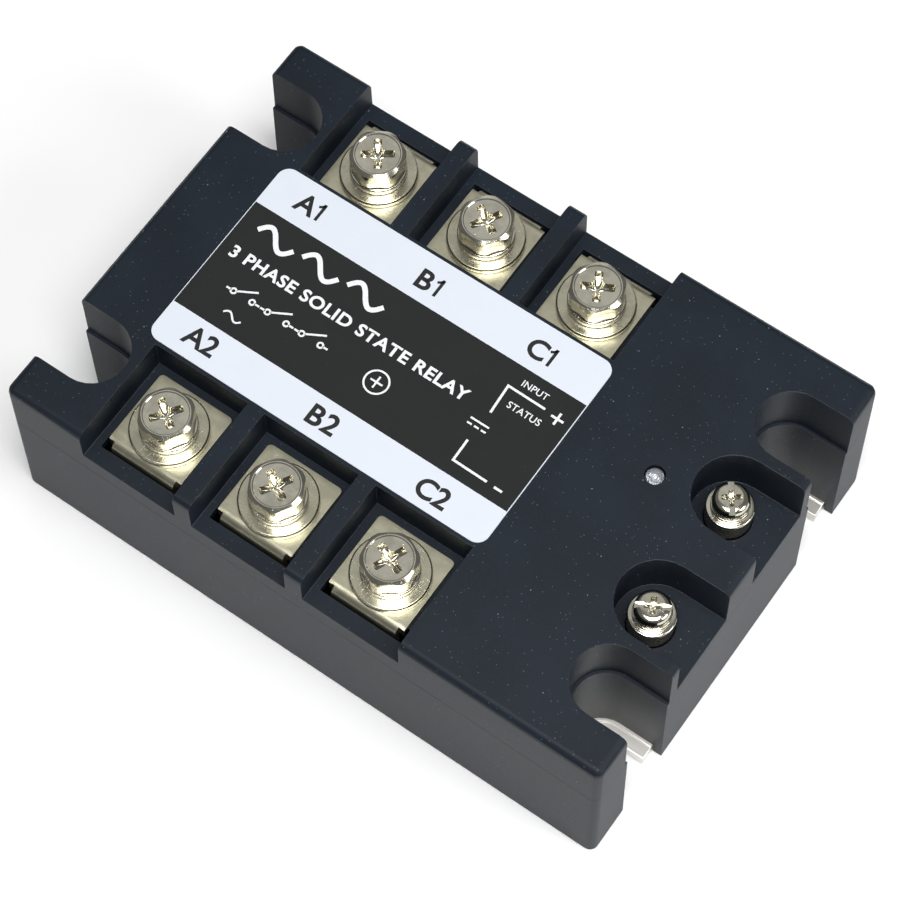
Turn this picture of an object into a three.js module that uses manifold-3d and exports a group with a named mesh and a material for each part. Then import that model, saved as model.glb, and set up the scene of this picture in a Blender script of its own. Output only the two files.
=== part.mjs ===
// Three-phase solid state relay in a panel-mount package.
// Millimetres, +Z up. The origin is the centre of the underside, which bolts to a heat sink.
// +X points to the end that has the two control terminals, and each load terminal pair
// (a1-a2, b1-b2, c1-c2) faces across Y, with the "1" terminals on the +Y side.
import * as THREE from "three";
import { mergeVertices } from "three/addons/utils/BufferGeometryUtils.js";
import Module from "manifold-3d";

const wasm = await Module();
wasm.setup();

// ---- Driving dimensions -------------------------------------------------------------------------

// Package. Outside sizes are those of the foot; the walls lean in by DRAFT for each mm of height.
const LENGTH = 105;
const WIDTH = 73.5;
const COVER_TOP = 31.5;
const PARTING = 21.4; // the cover sits on the lower housing here
const DRAFT = 0.0175;
const CORNER_RADIUS = 1.3; // upright outer corners
const TOP_FILLET = 1.3; // all round the cover's top
const WALL = 2.2; // outer walls and top
const SKIN = 1.6; // walls round the slots and bays
const FIT = 0.3; // gap between pieces that are cut by each other

// Base plate. It stands proud of the housing, so that it alone touches the heat sink.
const BASE_THICKNESS = 2.6;
const BASE_INSET = 1.6; // from the foot's outline
const BASE_PROUD = 0.3;
const BASE_CORNER = 1.5;

// Mounting slots, open to both X ends
const SLOT_FROM_END = 7.3; // centre of a slot's round end
const SLOT_FROM_SIDE = 13.05;
const SLOT_HALF_COVER = 5.6;
const SLOT_HALF_HOUSING = 5.1;
const SLOT_HALF_BASE = 2.5;
const SEAT_HALF = 4.6; // spot-face for the mounting screw's washer
const SEAT_DEPTH = 0.2;

// Load terminal bays, open to the sides
const PHASES = ["a", "b", "c"];
const BAY_FROM_END = 14.3; // from the -X end to the first bay
const BAY_WIDTH = 16.8;
const BARRIER = 3; // between two bays
const BAY_DEPTH = 18.85; // from the side to the middle block
const BAY_FLOOR = 25.4;

// Control terminal bays, open to the +X end
const CONTROL_BAY_HALF = 6.4;
const CONTROL_BAY_FROM_END = 8.2; // centre of a bay's round end
const CONTROL_FLOOR = 22.6;
const CONTROL_WEB = 1.85; // between a control bay and the mounting slot beside it
const CONTROL_SCREW_FROM_END = 8.9;
const CONTROL_SCREW_OFFSET = 0.3; // outwards from the middle of its bay

// Terminal plates: a tab on the bay floor, bent down at its outer edge to a leg and a foot
const PLATE_MARGIN = 1.8; // to the bay's side walls
const PLATE_THICKNESS = 1.2;
const PLATE_REACH = 13.8;
const PLATE_FROM_SIDE = 3.45;
const PLATE_BEND = 1.8; // outer radius
const PLATE_CORNER = 0.7;
const LEG_SHOULDER = 1; // how far the leg is narrower than the tab, each side
const FOOT_REACH = 8.5;
const LEG_SLOT_MARGIN = 1.2; // from a bay's side walls to the slot in its floor for the leg
const SCREW_FROM_SIDE = 10.5;

// Load terminal hardware, M5
const LOAD = {
  thread: 5,
  length: 10,
  headAcross: 8,
  headHeight: 3.7,
  recessSpan: 5.2,
  recessWidth: 1.2,
  recessDepth: 1.8,
  flatOuter: 12,
  flatThickness: 1,
  springOuter: 8.8,
  springThickness: 1.2,
};
const NUT_ACROSS = 8;
const NUT_HEIGHT = 4;
const BOSS_RADIUS = 5.5; // under the bay floor, round the nut
const BOSS_FLOOR = 1.2;

// Control terminal hardware, M3
const CONTROL = {
  thread: 3,
  length: 8,
  headRadius: 2.75,
  headHeight: 2.2,
  recessSpan: 3,
  recessWidth: 0.75,
  recessDepth: 1.1,
  slotWidth: 0.9,
  slotDepth: 0.6,
  flatOuter: 7.2,
  flatThickness: 0.7,
  springOuter: 5.8,
  springThickness: 0.9,
};
const PILLAR_RADIUS = 3.5;
const PILLAR_RISE = 3.4; // above the control bay floor

// Name label
const LABEL_THICKNESS = 0.15;
const LABEL_MARGIN = 0.6; // to the middle block's edges
const LABEL_OVERHANG_START = 2.2; // past the first bay, towards the -X end
const LABEL_OVERHANG_END = 1; // past the last bay
const LABEL_CORNER = 2;

// Status light, a 3 mm lamp standing on the control board
const LED_FROM_END = 19.4;
const LED_Y = 6.1;
const LED_RADIUS = 1.5;
const LED_GAP = 0.08; // to its hole in the cover
const LED_FLANGE = 0.4;
const LED_FLANGE_HEIGHT = 1;
const LED_PROUD = 0.35;
const LED_LEAD = 0.6;
const LED_LEAD_PITCH = 2.54;

// Inside
const POTTING_TOP = 12;
const BOARD_THICKNESS = 1.6;
const BOARD_CORNER = 1;
// margin is to the leg of each plate, and gap to the walls round the mounting slots
const SUBSTRATE = { gap: 1, thickness: 1, margin: 3 };
const CHIP = { size: 10, thickness: 0.4, y: 11 };
const OPTO = { length: 8.9, width: 6.4, height: 3.5, stand: 0.6, pin: 0.5, pinPitch: 2.54 };

// Fineness of round shapes: an arc gets twice its number of steps as segments
const SLOT_STEPS = 7;
const CORNER_STEPS = 2;
const FILLET_STEPS = 3;
const ROUND = 24;
const SHANK_ROUND = 12;
const DOME_STEPS = 4;

// ---- Places worked out from the dimensions ------------------------------------------------------

const halfLength = LENGTH / 2;
const halfWidth = WIDTH / 2;
const slotX = halfLength - SLOT_FROM_END;
const slotY = halfWidth - SLOT_FROM_SIDE;
const middleHalf = halfWidth - BAY_DEPTH;
const bayX = PHASES.map((_, i) => -halfLength + BAY_FROM_END + BAY_WIDTH / 2 + i * (BAY_WIDTH + BARRIER));
const controlY = slotY - SLOT_HALF_COVER - CONTROL_WEB - CONTROL_BAY_HALF;
const controlX = halfLength - CONTROL_SCREW_FROM_END;
const controlScrewY = controlY + CONTROL_SCREW_OFFSET;
const screwY = halfWidth - SCREW_FROM_SIDE;
const legFace = halfWidth - PLATE_FROM_SIDE; // the leg's outer face
const plateTop = BAY_FLOOR + PLATE_THICKNESS;
const screwTip = plateTop + LOAD.flatThickness + LOAD.springThickness - LOAD.length;
const pillarTop = CONTROL_FLOOR + PILLAR_RISE;
const plateWidth = BAY_WIDTH - 2 * PLATE_MARGIN;
const legWidth = plateWidth - 2 * LEG_SHOULDER;
const legSlotLength = BAY_WIDTH - 2 * LEG_SLOT_MARGIN;
const substrateWidth = 2 * (bayX[0] + slotX - SLOT_HALF_COVER - SKIN - SUBSTRATE.gap);
const substrateTop = BASE_THICKNESS + SUBSTRATE.thickness;
const boardTop = POTTING_TOP + BOARD_THICKNESS;
const ledX = halfLength - LED_FROM_END;
const beyond = LENGTH; // past the outside of everything
const above = COVER_TOP + 5;

// ---- Materials ----------------------------------------------------------------------------------

function finish(color, roughness, metalness) {
  return new THREE.MeshStandardMaterial({ color, roughness, metalness });
}

const blackPlastic = finish(0x23262e, 0.55, 0);
const nickel = finish(0xb8b29c, 0.3, 1);
const nickelPlate = finish(0xa9a48e, 0.4, 1);
const brass = finish(0xb59a55, 0.35, 1);
const aluminium = finish(0xc8c8c6, 0.45, 1);
const labelFilm = finish(0xf0f2f6, 0.35, 0);
const clearLens = finish(0xe6ebf0, 0.1, 0);
const boardLaminate = finish(0x1f5a3a, 0.5, 0);
const ceramic = finish(0xe9e7df, 0.6, 0);
const silicon = finish(0x3c3f45, 0.3, 0.3);
const resin = finish(0x141416, 0.4, 0);
const epoxy = finish(0x1a1a1c, 0.6, 0);

// ---- Solids -------------------------------------------------------------------------------------

// A closed three.js geometry as a manifold-3d solid.
function solid(geometry) {
  geometry.deleteAttribute("normal");
  geometry.deleteAttribute("uv");
  const merged = mergeVertices(geometry, 1e-4);
  return new wasm.Manifold(
    new wasm.Mesh({
      numProp: 3,
      vertProperties: merged.attributes.position.array,
      triVerts: new Uint32Array(merged.index.array),
    }),
  );
}

function piece(name, body, material) {
  const { vertProperties, triVerts } = body.getMesh();
  const geometry = new THREE.BufferGeometry();
  geometry.setAttribute("position", new THREE.BufferAttribute(vertProperties, 3));
  geometry.setIndex(new THREE.BufferAttribute(triVerts, 1));
  geometry.computeVertexNormals();
  const mesh = new THREE.Mesh(geometry, material);
  mesh.name = name;
  return mesh;
}

function box(x0, x1, y0, y1, z0, z1) {
  const geometry = new THREE.BoxGeometry(x1 - x0, y1 - y0, z1 - z0);
  geometry.translate((x0 + x1) / 2, (y0 + y1) / 2, (z0 + z1) / 2);
  return solid(geometry);
}

function extruded(shape, depth, arcSteps) {
  return new THREE.ExtrudeGeometry(shape, { depth, bevelEnabled: false, curveSegments: arcSteps });
}

function prism(shape, z0, z1, arcSteps = CORNER_STEPS) {
  return solid(extruded(shape, z1 - z0, arcSteps).translate(0, 0, z0));
}

// A solid of revolution about Z from [radius, height] points, listed upwards on the outside.
function turned(points, segments = ROUND) {
  const profile = points.map(([radius, height]) => new THREE.Vector2(radius, height));
  const geometry = new THREE.LatheGeometry(profile, segments);
  geometry.rotateX(Math.PI / 2);
  return solid(geometry);
}

function rod(radius, z0, z1, segments = ROUND) {
  return turned([[0, z0], [radius, z0], [radius, z1], [0, z1]], segments);
}

function ring(outer, inner, z0, z1, segments = ROUND) {
  return turned([[inner, z0], [outer, z0], [outer, z1], [inner, z1], [inner, z0]], segments);
}

// A six-sided prism about Z, by its size across flats. At turn 0 two of the flats face along X.
function hexagon(across, z0, z1, turn = 0) {
  return rod(across / Math.sqrt(3), z0, z1, 6).rotate([0, 0, turn]);
}

function roundedRectangle(x0, x1, y0, y1, radius) {
  const shape = new THREE.Shape();
  shape.absarc(x1 - radius, y0 + radius, radius, -Math.PI / 2, 0);
  shape.absarc(x1 - radius, y1 - radius, radius, 0, Math.PI / 2);
  shape.absarc(x0 + radius, y1 - radius, radius, Math.PI / 2, Math.PI);
  shape.absarc(x0 + radius, y0 + radius, radius, Math.PI, Math.PI * 1.5);
  shape.closePath();
  return shape;
}

// A slot with one round end at (x, y) that runs out past the end of the package on x's own side.
function openSlot(x, y, half) {
  const side = Math.sign(x);
  const shape = new THREE.Shape();
  shape.absarc(x, y, half, side * Math.PI / 2, side * Math.PI * 1.5, false);
  shape.lineTo(side * beyond, y - side * half);
  shape.lineTo(side * beyond, y + side * half);
  shape.closePath();
  return shape;
}

// Leans a body's outside inwards with height.
function drafted(geometry) {
  const p = geometry.attributes.position;
  for (let i = 0; i < p.count; i++) {
    const lean = DRAFT * p.getZ(i);
    p.setX(i, p.getX(i) - Math.sign(p.getX(i)) * lean);
    p.setY(i, p.getY(i) - Math.sign(p.getY(i)) * lean);
  }
  return solid(geometry);
}

// The package's outside between two heights, with its top edge rounded by `fillet` when asked.
function outside(z0, z1, fillet = 0) {
  const shape = roundedRectangle(
    fillet - halfLength, halfLength - fillet, fillet - halfWidth, halfWidth - fillet,
    Math.max(CORNER_RADIUS - fillet, 0.05),
  );
  const geometry = new THREE.ExtrudeGeometry(shape, {
    depth: z1 - z0 - 2 * fillet,
    bevelEnabled: fillet > 0,
    bevelThickness: fillet,
    bevelSize: fillet,
    bevelSegments: FILLET_STEPS,
    curveSegments: CORNER_STEPS,
  });
  geometry.translate(0, 0, z0 + fillet);
  return drafted(geometry);
}

function union(solids) {
  return solids.reduce((a, b) => a.add(b));
}

const ends = [-1, 1];
const sides = [1, -1];

// The four mounting slots as one cutting body; their walls are the same body, made wider.
function mountingSlots(half, z0, z1) {
  return union(
    ends.flatMap((end) =>
      sides.map((side) => prism(openSlot(end * slotX, side * slotY, half), z0, z1, SLOT_STEPS)),
    ),
  );
}

// The six terminal bays and two control bays, grown by `skin` on every side but the top.
function bays(skin) {
  const load = bayX.flatMap((x) =>
    sides.map((side) => {
      const [near, far] = [side * (middleHalf - skin), side * beyond];
      return box(
        x - BAY_WIDTH / 2 - skin, x + BAY_WIDTH / 2 + skin,
        Math.min(near, far), Math.max(near, far), BAY_FLOOR - skin, above,
      );
    }),
  );
  const control = sides.map((side) => {
    const shape = openSlot(halfLength - CONTROL_BAY_FROM_END, side * controlY, CONTROL_BAY_HALF + skin);
    return prism(shape, CONTROL_FLOOR - skin, above, SLOT_STEPS);
  });
  return union([...load, ...control]);
}

// The room inside the walls between two heights, with the slots' walls left out of it.
function room(z0, z1, gap = 0) {
  const wall = WALL + DRAFT * z1 + gap;
  const inner = box(
    wall - halfLength, halfLength - wall, wall - halfWidth, halfWidth - wall, z0, z1,
  );
  return inner.subtract(mountingSlots(SLOT_HALF_COVER + SKIN + gap, z0 - 1, z1 + 1));
}

// ---- Housing ------------------------------------------------------------------------------------

function basePlate() {
  const shape = roundedRectangle(
    BASE_INSET - halfLength, halfLength - BASE_INSET, BASE_INSET - halfWidth, halfWidth - BASE_INSET,
    BASE_CORNER,
  );
  return prism(shape, 0, BASE_THICKNESS)
    .subtract(mountingSlots(SLOT_HALF_BASE, -1, BASE_THICKNESS + 1))
    .subtract(mountingSlots(SEAT_HALF, BASE_THICKNESS - SEAT_DEPTH, BASE_THICKNESS + 1));
}

function lowerHousing() {
  const recess = BASE_INSET - FIT / 2;
  const seat = roundedRectangle(
    recess - halfLength, halfLength - recess, recess - halfWidth, halfWidth - recess, BASE_CORNER,
  );
  return outside(BASE_PROUD, PARTING)
    .subtract(room(0, PARTING + 1))
    .subtract(prism(seat, 0, BASE_THICKNESS))
    .subtract(mountingSlots(SLOT_HALF_HOUSING, 0, PARTING + 1));
}

// The blind boss that holds a terminal's nut, hanging from the middle of the bay floor's thickness.
function nutBoss(x, y) {
  return rod(BOSS_RADIUS, screwTip - FIT - BOSS_FLOOR, BAY_FLOOR - SKIN / 2).translate([x, y, 0]);
}

function nutPocket(x, y) {
  const hex = hexagon(NUT_ACROSS + FIT, BAY_FLOOR - NUT_HEIGHT - FIT, above, 30);
  const bore = rod(LOAD.thread / 2 + FIT, screwTip - FIT, above, SHANK_ROUND);
  return hex.add(bore).translate([x, y, 0]);
}

function legSlot(x, side) {
  const [inner, outer] = [side * (legFace - PLATE_BEND - FIT), side * (legFace + FIT)];
  return box(
    x - legSlotLength / 2, x + legSlotLength / 2,
    Math.min(inner, outer), Math.max(inner, outer), PARTING - 5, above,
  );
}

function upperCover() {
  const terminals = bayX.flatMap((x) => sides.map((side) => [x, side]));
  const shell = outside(PARTING - 2 * TOP_FILLET, COVER_TOP, TOP_FILLET)
    .intersect(box(-beyond, beyond, -beyond, beyond, PARTING, above))
    .subtract(room(PARTING - 1, COVER_TOP - WALL).subtract(bays(SKIN)));
  const bosses = union(terminals.map(([x, side]) => nutBoss(x, side * screwY)));
  const pockets = union(terminals.map(([x, side]) => nutPocket(x, side * screwY)));
  const legs = union(terminals.map(([x, side]) => legSlot(x, side)));
  const pillars = union(
    sides.map((side) => {
      const hole = rod(PILLAR_RADIUS + FIT / 2, PARTING - 3, CONTROL_FLOOR + 1);
      return hole.translate([controlX, side * controlScrewY, 0]);
    }),
  );
  const lamp = rod(LED_RADIUS + LED_GAP, PARTING, above).translate([ledX, LED_Y, 0]);
  return shell
    .subtract(bays(0))
    .add(bosses)
    .subtract(pockets)
    .subtract(legs)
    .subtract(pillars)
    .subtract(lamp)
    .subtract(mountingSlots(SLOT_HALF_COVER, PARTING - 1, above));
}

function nameLabel() {
  const shape = roundedRectangle(
    bayX[0] - BAY_WIDTH / 2 - LABEL_OVERHANG_START, bayX[2] + BAY_WIDTH / 2 + LABEL_OVERHANG_END,
    LABEL_MARGIN - middleHalf, middleHalf - LABEL_MARGIN, LABEL_CORNER,
  );
  return prism(shape, COVER_TOP, COVER_TOP + LABEL_THICKNESS);
}

// ---- Load terminals, each about its screw's axis. The plate is drawn with the side wall at +Y ------

// The plate's edge-on outline in (y, z): tab on top, leg down its outer edge, foot turned back in.
function plateOutline() {
  const face = legFace - screwY;
  const inner = PLATE_BEND - PLATE_THICKNESS;
  const foot = substrateTop;
  const shape = new THREE.Shape();
  shape.moveTo(face - PLATE_REACH, plateTop);
  shape.lineTo(face - PLATE_REACH, BAY_FLOOR);
  shape.absarc(face - PLATE_BEND, BAY_FLOOR - inner, inner, Math.PI / 2, 0, true);
  shape.absarc(face - PLATE_BEND, foot + PLATE_BEND, inner, 0, -Math.PI / 2, true);
  shape.lineTo(face - FOOT_REACH, foot + PLATE_THICKNESS);
  shape.lineTo(face - FOOT_REACH, foot);
  shape.absarc(face - PLATE_BEND, foot + PLATE_BEND, PLATE_BEND, -Math.PI / 2, 0, false);
  shape.absarc(face - PLATE_BEND, plateTop - PLATE_BEND, PLATE_BEND, 0, Math.PI / 2, false);
  shape.closePath();
  return shape;
}

function terminalPlate() {
  const strip = extruded(plateOutline(), plateWidth, CORNER_STEPS).translate(0, 0, -plateWidth / 2);
  strip.rotateY(Math.PI / 2).rotateX(Math.PI / 2); // the (y, z) outline stood up, its width along X
  const face = legFace - screwY;
  const half = plateWidth / 2;
  const notch = face - PLATE_THICKNESS + 0.1;
  const outline = roundedRectangle(-half, half, face - PLATE_REACH, face + 2 * PLATE_CORNER, PLATE_CORNER);
  return solid(strip)
    .intersect(prism(outline, 0, above))
    .subtract(box(legWidth / 2, beyond, notch, beyond, 0, above))
    .subtract(box(-beyond, -legWidth / 2, notch, beyond, 0, above))
    .subtract(box(legWidth / 2, beyond, face - FOOT_REACH - 1, beyond, 0, BAY_FLOOR - 1))
    .subtract(box(-beyond, -legWidth / 2, face - FOOT_REACH - 1, beyond, 0, BAY_FLOOR - 1))
    .subtract(rod(LOAD.thread / 2 + FIT, BAY_FLOOR - 1, above, SHANK_ROUND));
}

function nut(height) {
  const bore = rod(LOAD.thread / 2 + FIT / 2, -1, height + 1, SHANK_ROUND);
  return hexagon(NUT_ACROSS, 0, height, 30).subtract(bore);
}

function flatWasher(size) {
  return ring(size.flatOuter / 2, size.thread / 2 + FIT, 0, size.flatThickness);
}

// A spring washer tightened flat, so only its slanting cut shows.
function springWasher(size) {
  const cut = new THREE.BoxGeometry(size.springOuter, 0.5, size.springThickness * 3);
  cut.rotateX(Math.PI / 5);
  cut.translate(size.springOuter / 2, 0, size.springThickness / 2);
  return ring(size.springOuter / 2, size.thread / 2 + FIT / 2, 0, size.springThickness).subtract(solid(cut));
}

// A cross recess, cut down from the top of a head.
function crossRecess(size, top) {
  const half = size.recessSpan / 2;
  const arm = size.recessWidth / 2;
  const floor = top - size.recessDepth;
  return box(-half, half, -arm, arm, floor, top + 1).add(box(-arm, arm, -half, half, floor, top + 1));
}

// The shank hangs below z = 0 and reaches a little way up into the head.
function shank(size) {
  const radius = size.thread / 2;
  const tip = -size.length;
  const root = (size.headHeight - size.recessDepth) / 2;
  const lead = radius / 2;
  return turned(
    [[0, tip], [radius - lead, tip], [radius, tip + lead], [radius, root], [0, root]],
    SHANK_ROUND,
  );
}

// Hexagon head with its top corners turned off, above z = 0, and the threaded shank below.
function hexScrew(size, crossTurn) {
  const half = size.headAcross / 2;
  const corner = half * 1.075;
  const face = half * 0.92;
  const top = size.headHeight;
  const turnedOff = turned(
    [[0, 0], [face, 0], [corner, half * 0.12], [corner, top - half * 0.14], [face, top], [0, top]],
  );
  const betweenCorners = 180 / ROUND; // keeps the facets' edges off the hexagon's
  return hexagon(size.headAcross, 0, top)
    .intersect(turnedOff.rotate([0, 0, betweenCorners]))
    .add(shank(size))
    .subtract(crossRecess(size, top).rotate([0, 0, crossTurn]));
}

// Low round head with a slot right across it as well as the cross.
function panScrew(size) {
  const radius = size.headRadius;
  const top = size.headHeight;
  const head = turned(
    [[0, 0], [radius, 0], [radius, top * 0.5], [radius * 0.92, top * 0.8], [radius * 0.7, top], [0, top]],
  );
  const slot = box(-beyond, beyond, -size.slotWidth / 2, size.slotWidth / 2, top - size.slotDepth, top + 1);
  return head.add(shank(size)).subtract(crossRecess(size, top).add(slot));
}

// How far each screw head is turned in degrees, and its cross recess from there, by terminal.
const HEAD_TURN = { a1: 5, b1: 25, c1: 22, a2: 29, b2: 28, c2: 5 };
const CROSS_TURN = { a1: 30, b1: 33, c1: 6, a2: 25, b2: 30, c2: 61 };
const CONTROL_TURN = { plus: -55, minus: 28 };
const SPRING_GAP = 125; // where the spring washers' cuts face

function placed(mesh, z, turn = 0) {
  mesh.position.z = z;
  mesh.rotation.z = THREE.MathUtils.degToRad(turn);
  return mesh;
}

function loadTerminal(phase, number) {
  const name = phase + number;
  const side = number === 1 ? 1 : -1;
  const flatTop = plateTop + LOAD.flatThickness;
  const headSeat = flatTop + LOAD.springThickness;
  const plate = new THREE.Group();
  plate.add(piece(`terminal_plate_${name}`, terminalPlate(), nickelPlate));
  plate.rotation.z = side > 0 ? 0 : Math.PI;
  const screw = piece(`terminal_screw_${name}`, hexScrew(LOAD, CROSS_TURN[name]), nickel);
  const group = new THREE.Group();
  group.add(
    plate,
    placed(piece(`terminal_nut_${name}`, nut(NUT_HEIGHT), nickel), BAY_FLOOR - NUT_HEIGHT - FIT / 3),
    placed(piece(`flat_washer_${name}`, flatWasher(LOAD), nickel), plateTop),
    placed(piece(`spring_washer_${name}`, springWasher(LOAD), nickel), flatTop, SPRING_GAP),
    placed(screw, headSeat, HEAD_TURN[name]),
  );
  group.position.set(bayX[PHASES.indexOf(phase)], side * screwY, 0);
  return group;
}

// ---- Control terminals --------------------------------------------------------------------------

function controlPillar() {
  const bore = rod(CONTROL.thread / 2 + FIT / 2, pillarTop - CONTROL.length, pillarTop + 1, SHANK_ROUND);
  return rod(PILLAR_RADIUS, boardTop, pillarTop).subtract(bore);
}

function controlTerminal(name, side) {
  const flatTop = pillarTop + CONTROL.flatThickness;
  const headSeat = flatTop + CONTROL.springThickness;
  const group = new THREE.Group();
  group.add(
    piece(`control_pillar_${name}`, controlPillar(), brass),
    placed(piece(`control_flat_washer_${name}`, flatWasher(CONTROL), nickel), pillarTop),
    placed(piece(`control_spring_washer_${name}`, springWasher(CONTROL), nickel), flatTop, SPRING_GAP),
    placed(piece(`control_screw_${name}`, panScrew(CONTROL), nickel), headSeat, CONTROL_TURN[name]),
  );
  group.position.set(controlX, side * controlScrewY, 0);
  return group;
}

// ---- Electronics inside -------------------------------------------------------------------------

function substrateReach() {
  return legFace - SUBSTRATE.margin;
}

function substrate(x, gap = 0) {
  const half = substrateWidth / 2 + gap;
  const reach = substrateReach() + gap;
  return box(x - half, x + half, -reach, reach, BASE_THICKNESS - gap, substrateTop + gap);
}

function chip(x, side, gap = 0) {
  const half = CHIP.size / 2 + gap;
  const y = side * CHIP.y;
  return box(x - half, x + half, y - half, y + half, substrateTop - gap, substrateTop + CHIP.thickness + gap);
}

// The room that a plate's leg and foot take in the resin.
function legRoom(x, side) {
  const half = legWidth / 2 + FIT;
  const outer = side * (legFace + FIT);
  const footEnd = side * (legFace - FOOT_REACH - FIT);
  const legInner = side * (legFace - PLATE_BEND - FIT);
  const footTop = substrateTop + PLATE_BEND + FIT;
  const [footLow, footHigh] = [footEnd, outer].sort((a, b) => a - b);
  const [legLow, legHigh] = [legInner, outer].sort((a, b) => a - b);
  const foot = box(x - half, x + half, footLow, footHigh, substrateTop - 1, footTop);
  return foot.add(box(x - half, x + half, legLow, legHigh, substrateTop, above));
}

function pottingResin() {
  const pockets = union(
    bayX.flatMap((x) => [
      substrate(x, FIT),
      ...sides.flatMap((side) => [chip(x, side, FIT), legRoom(x, side)]),
    ]),
  );
  return room(BASE_THICKNESS, POTTING_TOP, FIT).subtract(pockets);
}

function controlBoard() {
  const half = slotY - SLOT_HALF_COVER - SKIN - 2 * FIT;
  const shape = roundedRectangle(
    bayX[0] - BAY_WIDTH / 2, halfLength - 2 * WALL, -half, half, BOARD_CORNER,
  );
  return prism(shape, POTTING_TOP, boardTop);
}

function optocoupler(x) {
  const floor = boardTop + OPTO.stand;
  const body = box(
    x - OPTO.length / 2, x + OPTO.length / 2, -OPTO.width / 2, OPTO.width / 2, floor, floor + OPTO.height,
  );
  const pins = [-1, 0, 1].map((i) => {
    const at = x + i * OPTO.pinPitch;
    const reach = OPTO.width / 2 + OPTO.pin;
    const middle = floor + OPTO.height / 2;
    const bar = box(at - OPTO.pin / 2, at + OPTO.pin / 2, -reach, reach, boardTop, middle);
    return bar.subtract(box(at - 1, at + 1, 0.1 - OPTO.width / 2, OPTO.width / 2 - 0.1, boardTop - 1, floor));
  });
  return union([body, ...pins]);
}

function statusLed() {
  const flangeTop = COVER_TOP - WALL;
  const flangeFloor = flangeTop - LED_FLANGE_HEIGHT;
  const top = COVER_TOP + LED_PROUD;
  const wide = LED_RADIUS + LED_FLANGE;
  const dome = Array.from({ length: DOME_STEPS }, (_, i) => {
    const angle = (i / DOME_STEPS) * (Math.PI / 2);
    return [LED_RADIUS * Math.cos(angle), top - LED_RADIUS + LED_RADIUS * Math.sin(angle)];
  });
  const bulb = turned([
    [0, flangeFloor], [wide, flangeFloor], [wide, flangeTop], [LED_RADIUS, flangeTop], ...dome, [0, top],
  ], SHANK_ROUND);
  const leads = [-1, 1].map((side) => {
    const x = (side * LED_LEAD_PITCH) / 2;
    return box(x - LED_LEAD / 2, x + LED_LEAD / 2, -LED_LEAD / 2, LED_LEAD / 2, boardTop, flangeFloor + 0.5);
  });
  return union([bulb, ...leads]).translate([ledX, LED_Y, 0]);
}

// ---- Assembly -----------------------------------------------------------------------------------

const relay = new THREE.Group();
relay.add(
  piece("base_plate", basePlate(), aluminium),
  piece("lower_housing", lowerHousing(), blackPlastic),
  piece("upper_cover", upperCover(), blackPlastic),
  piece("name_label", nameLabel(), labelFilm),
  piece("status_led", statusLed(), clearLens),
  piece("control_board", controlBoard(), boardLaminate),
  piece("potting_resin", pottingResin(), resin),
);
PHASES.forEach((phase, i) => {
  relay.add(
    piece(`optocoupler_${phase}`, optocoupler(bayX[i]), epoxy),
    piece(`ceramic_substrate_${phase}`, substrate(bayX[i]), ceramic),
    piece(`thyristor_${phase}1`, chip(bayX[i], 1), silicon),
    piece(`thyristor_${phase}2`, chip(bayX[i], -1), silicon),
    loadTerminal(phase, 1),
    loadTerminal(phase, 2),
  );
});
relay.add(controlTerminal("plus", 1), controlTerminal("minus", -1));

export default relay;
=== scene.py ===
"""A three-phase solid state relay: its moulded case, printed label, terminal hardware and status light.

Lengths are in millimetres, and each finished piece is turned into metres. +X points to the control
terminals, +Y to the load terminals numbered 1, and +Z up out of the heat sink.
"""
import math

import bmesh
import bpy
from mathutils import Matrix, Vector


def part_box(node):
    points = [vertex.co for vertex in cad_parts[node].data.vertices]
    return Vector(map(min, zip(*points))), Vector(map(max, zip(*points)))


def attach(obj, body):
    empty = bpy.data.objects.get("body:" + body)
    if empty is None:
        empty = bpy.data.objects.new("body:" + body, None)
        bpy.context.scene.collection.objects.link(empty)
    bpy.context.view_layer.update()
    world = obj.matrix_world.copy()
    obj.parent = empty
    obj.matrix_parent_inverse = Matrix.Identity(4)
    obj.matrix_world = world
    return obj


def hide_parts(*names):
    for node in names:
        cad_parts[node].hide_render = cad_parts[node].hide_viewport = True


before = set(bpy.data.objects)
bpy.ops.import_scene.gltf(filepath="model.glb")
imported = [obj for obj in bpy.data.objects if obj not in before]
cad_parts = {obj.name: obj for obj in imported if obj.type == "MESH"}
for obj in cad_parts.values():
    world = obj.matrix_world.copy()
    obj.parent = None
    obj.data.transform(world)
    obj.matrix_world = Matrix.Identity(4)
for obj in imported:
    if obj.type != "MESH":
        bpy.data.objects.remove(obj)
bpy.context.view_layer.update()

MM = 0.001
PHASES = "abc"
LOAD_TERMINALS = [phase + number for phase in PHASES for number in "12"]
CONTROL_TERMINALS = ["plus", "minus"]
HOUSING = "housing"

# ---- Sizes that the frame does not give, in millimetres -------------------------------------------

MOULDED_EDGE = 0.22  # broken edges of the plastic mouldings
MACHINED_EDGE = 0.15  # of the base plate
PLATE_EDGE = 0.12  # of the terminal plates
FILM_EDGE = 0.04  # of the label
CRISP_REACH = 2.5  # round the status light, whose hole has no broken edge
FACET_ANGLE = 40  # degrees; a sharper edge is a real one
WELD = 2e-3  # corners closer than this are one

M5 = {"thread": 5.0, "pitch": 0.8, "length": 10.0, "across_flats": 8.0}
M3 = {"thread": 3.0, "pitch": 0.5, "length": 8.0, "head": 5.5, "slot": 0.9, "slot_depth": 0.6}
M5_CROSS = {"reach": 2.6, "arm": 0.62, "depth": 1.6, "fillet": 0.5}  # arm: half an arm's width
M3_CROSS = {"reach": 1.5, "arm": 0.42, "depth": 1.15, "fillet": 0.22}
RECESS_WALL = ((0.97, 0.12), (0.88, 0.6), (0.7, 0.85), (0.3, 1.0))  # of the ring above, of the depth
THREAD_DEPTH = 0.61  # of the pitch
FLAT_CLEARANCE = 0.3  # between a flat washer and the thread
SPRING_CLEARANCE = 0.1

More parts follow.
